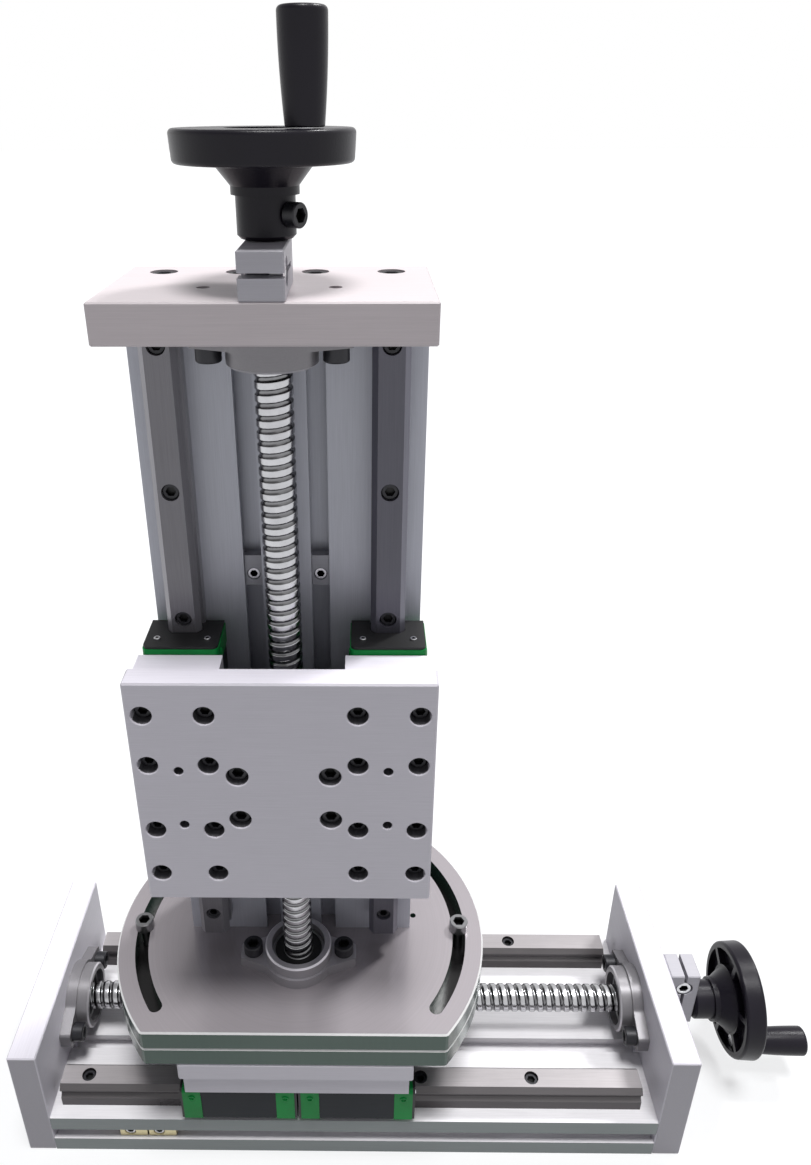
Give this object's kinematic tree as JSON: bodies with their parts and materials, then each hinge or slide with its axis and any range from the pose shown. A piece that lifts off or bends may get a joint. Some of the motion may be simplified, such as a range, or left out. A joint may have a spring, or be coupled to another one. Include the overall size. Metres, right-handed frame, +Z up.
{
  "type": "manual lift slide table",
  "caption": "Manual cross slide: a vertical rail slide on a swivel base that rides a horizontal rail slide, each driven by a ball screw and handwheel.",
  "frame": {"origin": "underside of the base, midway between its end plates and across its width", "axes": "+X along the base towards its handwheel, -Y towards the operator and the lift plate's face, +Z up"},
  "size_m": [0.4382, 0.13, 0.5389],
  "materials": {
    "profile_aluminium": "clear anodised extrusion, satin",
    "plate_aluminium": "clear anodised milled plate, satin",
    "disc_aluminium": "turned and milled, bright satin",
    "rail_steel": "ground and hardened",
    "runner_steel": "ground steel, dark sides",
    "flange_steel": "turned, bright",
    "bearing_steel": "dark steel with seals",
    "screw_steel": "rolled bright steel",
    "bright_steel": "bright zinc",
    "black_steel": "black oxide",
    "nut_brass": "yellow zinc, satin",
    "cap_plastic": "green moulding",
    "seal_rubber": "black",
    "wheel_plastic": "black moulding, slight sheen"
  },
  "bodies": {
    "base": {"x_profile": "profile_aluminium", "x_end_plate_screws": "black_steel", "x_rail_screws": "black_steel", "x_flange_screws": "black_steel", "x_bearings": "bearing_steel", "x_lock_block": "plate_aluminium", "x_lock_screw": "bright_steel", "x_slot_nuts": "nut_brass", "x_rail_front": "rail_steel", "x_rail_back": "rail_steel", "x_flange_left": "flange_steel", "x_flange_right": "flange_steel", "x_end_plate_left": "plate_aluminium", "x_end_plate_right": "plate_aluminium"},
    "x_carriage": {"x_runners": "runner_steel", "x_runner_caps": "cap_plastic", "x_runner_seals": "seal_rubber", "x_spacers": "plate_aluminium", "x_slide_plate": "plate_aluminium", "x_carriage_screws": "black_steel", "x_nut_bracket": "plate_aluminium", "x_ball_nut": "rail_steel", "swivel_lower_disc": "disc_aluminium", "swivel_disc_screws": "black_steel", "swivel_clamp_screws": "bright_steel", "swivel_pivot": "rail_steel"},
    "x_drive": {"x_screw": "screw_steel", "x_handwheel": "wheel_plastic", "x_wheel_screw": "black_steel", "x_handle_spindle": "bright_steel"},
    "x_grip": {"x_handle_grip": "wheel_plastic"},
    "column": {"z_profile": "profile_aluminium", "z_end_plate_screws": "black_steel", "z_rail_screws": "black_steel", "z_flange_screws": "black_steel", "z_bearings": "bearing_steel", "z_lock_block": "plate_aluminium", "z_lock_screw": "bright_steel", "z_slot_nuts": "nut_brass", "z_rail_right": "rail_steel", "z_rail_left": "rail_steel", "z_flange_lower": "flange_steel", "z_flange_upper": "flange_steel", "z_end_plate": "plate_aluminium", "swivel_upper_disc": "disc_aluminium", "column_foot_screws": "black_steel"},
    "z_carriage": {"z_runners": "runner_steel", "z_runner_caps": "cap_plastic", "z_runner_seals": "seal_rubber", "z_spacers": "plate_aluminium", "z_slide_plate": "plate_aluminium", "z_carriage_screws": "black_steel", "z_nut_bracket": "plate_aluminium", "z_ball_nut": "rail_steel"},
    "z_drive": {"z_screw": "screw_steel", "z_handwheel": "wheel_plastic", "z_wheel_screw": "black_steel", "z_handle_spindle": "bright_steel"},
    "z_grip": {"z_handle_grip": "wheel_plastic"}
  },
  "joints": [
    {"name": "x_travel", "type": "slide", "parent": "base", "child": "x_carriage", "axis": [1, 0, 0], "range_m": [-0.06, 0.118]},
    {"name": "x_screw_turn", "type": "hinge", "parent": "base", "child": "x_drive", "pos_m": [0.163, 0, 0.048], "axis": [1, 0, 0], "range_deg": [-8510, 4330]},
    {"name": "x_handle_turn", "type": "hinge", "parent": "x_drive", "child": "x_grip", "pos_m": [0.2266, -0.0109, 0.02662], "axis": [1, 0, 0], "continuous": true},
    {"name": "swivel", "type": "hinge", "parent": "x_carriage", "child": "column", "pos_m": [-0.029, 0, 0.092], "axis": [0, 0, 1], "range_deg": [-35, 35]},
    {"name": "z_travel", "type": "slide", "parent": "column", "child": "z_carriage", "axis": [0, 0, 1], "range_m": [-0.064, 0.12]},
    {"name": "z_screw_turn", "type": "hinge", "parent": "column", "child": "z_drive", "pos_m": [-0.029, -0.0205, 0.4382], "axis": [0, 0, 1], "range_deg": [-8650, 4620]},
    {"name": "z_handle_turn", "type": "hinge", "parent": "z_drive", "child": "z_grip", "pos_m": [-0.01357, -0.03889, 0.5053], "axis": [0, 0, 1], "continuous": true}
  ],
  "couplings": [
    {"joint": "x_screw_turn", "follows": "x_travel", "rad_per_m": -1256.6},
    {"joint": "z_screw_turn", "follows": "z_travel", "rad_per_m": -1256.6}
  ]
}
